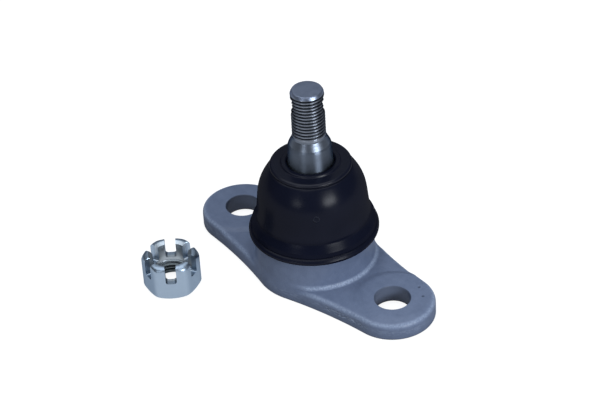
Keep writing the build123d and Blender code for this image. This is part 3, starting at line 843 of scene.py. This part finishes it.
# The boss's foot is painted paler only on its side towards the lamps: a painted highlight.
wear_and_sheen_rows[1][:ARC_ROWS] = rounding_middle**2 * room_share * np.clip(np.cos(turns - FOOT_SHEEN_TURN), LEAST_FOOT_SHEEN, 1)
housing = skin("forged_housing", np.concatenate(rows), loop=True, rim=np.concatenate(wear_and_sheen_rows))
print("the housing's grid has", sum(len(block) for block in rows), "rings")

# %% [markdown]
# The bolt holes
#
# The holes are drilled after forging, which leaves a sharp edge that is just broken. A turned
# cutter with that edge on it is taken out of the skin, as the drill does it. The exact solver
# leaves a closed mesh.

# %% Cutting
def cut(piece, cutter):
    """Takes the cutter's shape out of the piece and throws the cutter away."""
    modifier = piece.modifiers.new("cut", "BOOLEAN")
    modifier.operation = "DIFFERENCE"
    modifier.solver = "EXACT"
    modifier.object = cutter
    bpy.context.view_layer.update()
    seen = piece.evaluated_get(bpy.context.evaluated_depsgraph_get())
    result = bpy.data.meshes.new_from_object(seen)
    piece.modifiers.clear()
    old = piece.data
    piece.data = result
    bpy.data.meshes.remove(old)
    bpy.data.objects.remove(cutter)
    print(piece.name, "was cut and has", len(result.polygons), "faces")

# %% Bolt holes
BOLT_HOLE_RADIUS = 7.5
HOLE_EDGE = 0.2
HOLE_ROUNDING = 0.25
OVERRUN = 2
HOLE_TURNS = 128

for side in (-1, 1):
    wide = BOLT_HOLE_RADIUS + OVERRUN + HOLE_EDGE
    hole_points = turned_points([
        (0, LUG_HEIGHT + OVERRUN, 0), (wide, LUG_HEIGHT + OVERRUN, 0),
        (BOLT_HOLE_RADIUS, LUG_HEIGHT - HOLE_EDGE, HOLE_ROUNDING),
        (BOLT_HOLE_RADIUS, HOLE_EDGE, HOLE_ROUNDING), (wide, -OVERRUN, 0),
        (0, -OVERRUN, 0)], even_turns(HOLE_TURNS), step=1.5)
    hole_points[..., 0] += side * half_spacing
    cut(housing, skin("hole", hole_points))
smooth(housing)
housing.data.materials.append(forging)
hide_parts("housing")
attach(housing, "housing")

# %% [markdown]
# The ball stud
#
# The stud is one turned piece: ball, neck, a shank that tapers 1 in 10 into the knuckle, and an
# M14 thread. The thread is a groove cut into the profile whose height climbs one pitch in each
# turn, so the radius depends on height and turn together. Only the threaded part needs fine
# rows, so below it most of them are left out.

# %% Stud skin
PITCH = 1.5
CREST_FLAT = 0.14
FLANK_SHARE = 0.66
THREAD_DEPTH = 0.85
THREAD_FROM = 68.2
THREAD_TO = 88.6
RUN_OUT = 0.8
STUD_TURNS = 144
FINE_STEP = 0.125
FINE_FROM = 66.0
KEEP_EVERY = 6


def thread_groove(height, turns):
    """How deep a right-hand thread's groove is, from 0 on its flat crest to 1 in its root.

    The height over the pitch less the turn's share of a circle gives the place in one pitch. The
    depth grows evenly from the crest's flat to the middle of the groove.
    """
    phase = (height / PITCH - turns / (2 * pi)) % 1.0
    slope = np.abs(phase - 0.5) * 2
    return np.clip((1 - slope - CREST_FLAT) / FLANK_SHARE, 0, 1)


stud_line = rounded_profile([
    (0, 89.62, 0), (6.2, 89.55, 0.3), (6.95, 88.25, 0.4), (7.0, 67.4, 0.5),
    (7.15, 67.1, 0.5), (8.35, 64.7, 0.8), (9.0, 63.3, 0.9), (10.05, 42.0, 2.5), (7.6, 37.5, 3.0),
    (7.6, 33.6, 2.6), (10.9, 29.2, 1.2), (13.2, 25.0, 3.0), (14.0, 21.5, 4.0), (13.2, 18.0, 3.0),
    (10.9, 13.8, 4.0), (7.0, 9.6, 5.0), (2.0, 7.6, 3.0), (0, 7.5, 0)], step=FINE_STEP)
keep = (stud_line[1] > FINE_FROM) | (np.arange(stud_line.shape[1]) % KEEP_EVERY == 0)
keep[[0, -1]] = True
stud_radius, stud_height = stud_line[:, keep, None]
stud_angles = even_turns(STUD_TURNS)
cut_in = smooth_step((stud_height - THREAD_FROM) / PITCH) * smooth_step((THREAD_TO - stud_height) / RUN_OUT)
groove = THREAD_DEPTH * cut_in * thread_groove(stud_height, stud_angles)
stud = skin("turned_stud", ring_points(np.maximum(stud_radius - groove, 0), stud_height, stud_angles))
print("the stud's grid has", len(stud_radius), "rings, and its thread climbs", PITCH, "mm in a turn")

# %% [markdown]
# The pin hole
#
# A split pin goes through the thread. Its hole is drilled from both sides, with a wide cone at
# each end so that the pin finds its way in. In the photograph the hole lies across the view, so
# only the two cones show, as dents in the thread's outline.

# %% Pin hole
PIN_HOLE_RADIUS = 1.8
PIN_SINK_RADIUS = 4.2
PIN_HEIGHT = 82.5
PIN_ANGLE = radians(49)
DRILL_REACH = 9.0
DRILL_TURNS = 48
THREAD_RADIUS = 7.0
PAST_MIDDLE = 0.1
ONE_STEP = 40
STUD_SHARP_DEGREES = 50

for half_turn in (0, pi):
    drill = skin("drill", turned_points([
        (0, DRILL_REACH, 0), (PIN_SINK_RADIUS + OVERRUN, DRILL_REACH, 0),
        (PIN_HOLE_RADIUS, THREAD_RADIUS - PIN_SINK_RADIUS + PIN_HOLE_RADIUS, 0),
        (PIN_HOLE_RADIUS, -PAST_MIDDLE, 0), (0, -PAST_MIDDLE, 0)], even_turns(DRILL_TURNS), step=ONE_STEP))
    drill.data.transform(Matrix.Translation((0, 0, PIN_HEIGHT * MM)) @ Matrix.Rotation(
        PIN_ANGLE + half_turn, 4, "Z") @ Matrix.Rotation(pi / 2, 4, "Y"))
    cut(stud, drill)
smooth(stud, STUD_SHARP_DEGREES)

# %% [markdown]
# The stud's finishes
#
# The shank is ground, the shoulder and the end are turned, and the thread is rolled. Each of them
# shines in its own way, so one mesh carries four materials, and a face's height chooses its own.

# %% Stud finish
SHANK_TOP = 64.3
SHOULDER_TOP = 68.3
THREAD_TOP = 88.3

for material in (shank_steel, shoulder_steel, thread_steel, end_steel):
    stud.data.materials.append(material)
centres = np.empty(len(stud.data.polygons) * 3)
stud.data.polygons.foreach_get("center", centres)
zones = np.searchsorted((SHANK_TOP, SHOULDER_TOP, THREAD_TOP), centres[2::3] / MM)
stud.data.polygons.foreach_set("material_index", zones.astype(np.int32))
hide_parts("ball_stud")
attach(stud, "stud")
print("faces of shank, shoulder, thread and end:", np.bincount(zones).tolist())

# %% [markdown]
# The dust boot
#
# The boot is one rubber moulding that bends between the housing and the stud, as the ball swings
# two ways. Its skin is made in two closed shells, a lower and an upper one. They meet at the
# boot's belly, where the wall is smoothest, with the same radius and slope.

# %% Boot wall
BELLY = 40.0
WALL_FOOT = 30.0
WALL = 2.1
WALL_ROWS = 24
WALL_DEGREE = 7
CURVE_MIDDLE = 41.0
BOOT_TURNS = 192
wall_outer = np.array([
    (17.4, 52.0), (18.1, 51.0), (18.85, 50.0), (20.05, 48.0), (21.1, 46.0), (21.9, 44.0), (22.4, 42.0),
    (22.75, 40.0), (23.0, 38.0), (23.17, 36.0), (23.37, 34.0), (23.63, 32.0), (24.05, 30.0)])
wall_fit = np.polynomial.Polynomial.fit(wall_outer[:, 1] - CURVE_MIDDLE, wall_outer[:, 0], WALL_DEGREE)


def wall_curve(first, last, thickness=0.0):
    """The boot wall's line between two heights, and with a thickness the line inside it.

    The radius is a polynomial of the height that passes closest to the radii above. A thickness
    moves each point inwards along the line's normal, which its slope gives.
    """
    heights = np.linspace(first, last, WALL_ROWS)
    radii = wall_fit(heights - CURVE_MIDDLE)
    slope = wall_fit.deriv()(heights - CURVE_MIDDLE)
    size = np.sqrt(1 + slope**2)
    return np.stack([radii - thickness / size, heights + thickness * slope / size])


def boot_piece(name, line, nodes):
    """One closed shell of the boot."""
    piece = skin(name, ring_points(line[0][:, None], line[1][:, None], even_turns(BOOT_TURNS)), loop=True)
    smooth(piece)
    piece.data.materials.append(rubber)
    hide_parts(*nodes)
    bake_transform(piece)


print("the boot's wall is", round(float(wall_fit(BELLY - CURVE_MIDDLE)), 2), "mm in radius at its belly")

# %% [markdown]
# The lower shell
#
# The wall runs down into a flared skirt and ends in a thick bead that grips the housing's
# spigot. A steel ring lies in the hollow inside the bead.

# %% Boot lower shell
bead = rounded_profile([
    (24.05, WALL_FOOT, 0), (24.0, 28.9, 0.8), (24.7, 27.6, 0.9), (26.0, 25.6, 1.2), (26.4, 23.9, 0.5),
    (26.05, 23.2, 0.12), (26.7, 22.8, 0.35), (27.35, 21.9, 0.5), (27.3, 20.9, 0.4), (26.4, 20.5, 0.3),
    (24.45, 20.5, 0), (24.45, 21.85, 0), (22.45, 21.85, 0), (22.45, 28.0, 0), (22.0, WALL_FOOT, 0)])
lower_line = np.concatenate([
    wall_curve(BELLY, WALL_FOOT), bead[:, 1:-1], wall_curve(WALL_FOOT, BELLY, WALL)], axis=1)
boot_piece("boot_lower", lower_line, ["boot_bead"])

# %% [markdown]
# The upper shell
#
# Above the belly the wall closes in under a flat collar with a raised ridge round the stud. The
# collar overhangs the wall in a rounded lip, and a second steel ring sits in the slot inside it.

# %% Boot upper shell
WALL_TOP = 51.5
INNER_TOP = 50.0
collar = rounded_profile([
    (9.62, 53.3, 0), (9.9, 54.6, 0.3), (10.6, 55.0, 0.4), (12.1, 55.0, 0.4), (12.5, 54.3, 0.2),
    (16.3, 54.15, 0.5), (17.2, 53.55, 0.75), (17.05, 52.95, 0.2), (16.4, 52.5, 0.12), (17.3, 52.05, 0.3),
    (17.7, 51.6, 0)], step=0.6)
under_collar = rounded_profile([
    (15.2, 50.6, 0), (14.3, 49.75, 0.2), (13.75, 49.72, 0), (13.75, 52.4, 0), (12.3, 52.4, 0),
    (12.3, 49.72, 0), (9.84, 49.72, 0), (9.62, 53.3, 0)], step=0.8)
upper_line = np.concatenate([
    collar[:, :-1], wall_curve(WALL_TOP, BELLY), wall_curve(BELLY, INNER_TOP, WALL),
    under_collar[:, :-1]], axis=1)
boot_piece("boot_upper", upper_line,
           ["boot_wall", "boot_collar"])

# %% [markdown]
# The castle nut
#
# A castle nut is a hexagon with slots from its top for the split pin. The grid's outer radius
# follows the hexagon, the chamfers are cones that the flats cut into arcs, and the bore carries
# the thread. The three slots that cross it are cut out last.

# %% Nut outline
NUT_TURN = radians(50)
ACROSS_FLATS = 22.0
NUT_HEIGHT = 16.0
NUT_CORNER = 12.2
CORNER_BLEND = 60
CROWN_RIM = 9.5
CROWN_DROP = 2.6
FOOT_RIM = 10.4
FOOT_DROP = 1.1
SIDES = 6
SIDE_DEGREES = 360 / SIDES

# The columns of one side in degrees from its middle, closer together round the corner.
one_side = np.concatenate([np.linspace(-28.6, 28.6, 17), [29.3, 30.0, 30.7]])
all_sides = (one_side[None] + SIDE_DEGREES * np.arange(SIDES)[:, None]).reshape(-1)
nut_turns = np.radians(SIDE_DEGREES / 2 + all_sides)
hexagon = ACROSS_FLATS / 2 / np.cos(nut_turns % (pi / 3) - pi / 6)
hexagon = (hexagon**-CORNER_BLEND + NUT_CORNER**-CORNER_BLEND)**(-1 / CORNER_BLEND)


def share_to_corner(radius, inner):
    """How far the hexagon's radius is from an inner circle, as a share of the corner's."""
    return np.maximum(radius - inner, 0) / (NUT_CORNER - inner)


top_drop = CROWN_DROP * share_to_corner(hexagon, CROWN_RIM)
foot_height = FOOT_DROP * share_to_corner(hexagon, FOOT_RIM)
print("the nut's radius goes from", round(hexagon.min(), 2), "to", round(hexagon.max(), 2), "mm")

# %% [markdown]
# The nut's skin
#
# The rows go up inside the crown, over its rim and down the flats to the foot, and then up the
# bore. The thread is the stud's own groove turned inside out, and it fades over one pitch at
# each end.

# %% Nut skin
NUT_BORE = 6.2
BORE_START = 0.9
BORE_ROWS = 90
THREAD_END = 6.9
RUN_OUT_HEIGHT = 7.9
CROWN_BORE = 7.5
CROWN_SINK = 8.9
STRAIGHT_TOP = 12.0
STRAIGHT_BOTTOM = 1.8
SINK_DEPTH = 1.0
EDGE_BREAK = 0.15
RIM_BREAK = 0.2
FOOT_BREAK = 0.12
MOUTH_WIDTH = 1.2
MOUTH_STEP = 0.8
MOUTH_DEPTH = 0.5
RIM_ROWS = 8
FLAT_ROWS = 5


def nut_ring(radius, height):
    """One ring of the nut: a row whose radius and height may change with the turn."""
    return ring_points(radius + 0 * nut_turns, height + 0 * nut_turns, nut_turns)[None]


nut_rows = [nut_ring(CROWN_BORE, RUN_OUT_HEIGHT), nut_ring(CROWN_BORE, STRAIGHT_TOP),
            nut_ring(CROWN_BORE + EDGE_BREAK, NUT_HEIGHT - SINK_DEPTH),
            nut_ring(CROWN_SINK, NUT_HEIGHT - EDGE_BREAK), nut_ring(CROWN_SINK + RIM_BREAK, NUT_HEIGHT)]
over = np.linspace(pi / 2, 0, RIM_ROWS)[:, None]
nut_rows.append(ring_points(CROWN_RIM + (hexagon - CROWN_RIM) * np.cos(over),
                            NUT_HEIGHT - top_drop * (1 - np.sin(over)), nut_turns))
flat_heights = np.linspace(STRAIGHT_TOP, STRAIGHT_BOTTOM, FLAT_ROWS)[:, None]
nut_rows.append(ring_points(hexagon, flat_heights, nut_turns))
nut_rows += [nut_ring(hexagon, foot_height + EDGE_BREAK), nut_ring(hexagon - FOOT_BREAK, foot_height),
             nut_ring(FOOT_RIM, 0), nut_ring(NUT_BORE + MOUTH_WIDTH, 0),
             nut_ring(NUT_BORE + MOUTH_STEP, MOUTH_DEPTH)]
bore_heights = np.linspace(BORE_START, THREAD_END, BORE_ROWS)[:, None]
fade = smooth_step((THREAD_END - bore_heights) / PITCH) * smooth_step(bore_heights / PITCH)
ridge = (1 - thread_groove(bore_heights, nut_turns)) * fade
nut_rows.append(ring_points(CROWN_BORE - (CROWN_BORE - NUT_BORE) * ridge, bore_heights, nut_turns))
nut = skin("zinc_castle_nut", np.concatenate(nut_rows), loop=True)
print("the nut's grid has", sum(len(block) for block in nut_rows), "rings")

# %% [markdown]
# The slots
#
# Each slot is cut by a bar with a rounded bottom, laid across the nut from one flat to the one
# opposite. The bar is a grid of four rows: the slot's outline at both ends, and a row at each end
# that is drawn together into one point, which closes it.

# %% Nut slots
SLOT_WIDTH = 4.6
SLOT_DEPTH = 7.9
SLOT_ROUNDING = 1.1
SLOT_FLARE = 0.7
FLARE_DEPTH = 0.3
SLOT_REACH = 16.0
SLOT_ABOVE = 1.0
SLOT_ARC_POINTS = 6
SLOT_COUNT = 3
NUT_SHARP_DEGREES = 28
half_slot = SLOT_WIDTH / 2
slot_floor = NUT_HEIGHT - SLOT_DEPTH
slot_arc = np.linspace(0, pi / 2, SLOT_ARC_POINTS)
side_y = np.concatenate([[half_slot + SLOT_FLARE, half_slot, half_slot],
                         half_slot - SLOT_ROUNDING * (1 - np.cos(slot_arc))])
side_z = np.concatenate([[NUT_HEIGHT + SLOT_ABOVE, NUT_HEIGHT - FLARE_DEPTH, NUT_HEIGHT - SINK_DEPTH],
                         slot_floor + SLOT_ROUNDING * (1 - np.sin(slot_arc))])
loop_y = np.concatenate([side_y, -side_y[::-1]])
loop_z = np.concatenate([side_z, side_z[::-1]])
slot_x = SLOT_REACH * np.array([-1, -1, 1, 1])[:, None]
opening = np.array([0, 1, 1, 0])[:, None]
slot_points = np.stack([slot_x + 0 * loop_y, opening * loop_y,
                        NUT_HEIGHT + opening * (loop_z - NUT_HEIGHT)], axis=-1)
for number in range(SLOT_COUNT):
    bar = skin("slot", slot_points)
    bar.data.transform(Matrix.Rotation(radians(SIDE_DEGREES * (number + 0.5)), 4, "Z"))
    cut(nut, bar)
nut.data.transform(Matrix.Translation((NUT_CENTRE[0] * MM, NUT_CENTRE[1] * MM, 0)) @ Matrix.Rotation(
    NUT_TURN, 4, "Z"))
smooth(nut, NUT_SHARP_DEGREES)
nut.data.materials.append(zinc)
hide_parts("castle_nut")
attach(nut, "nut")
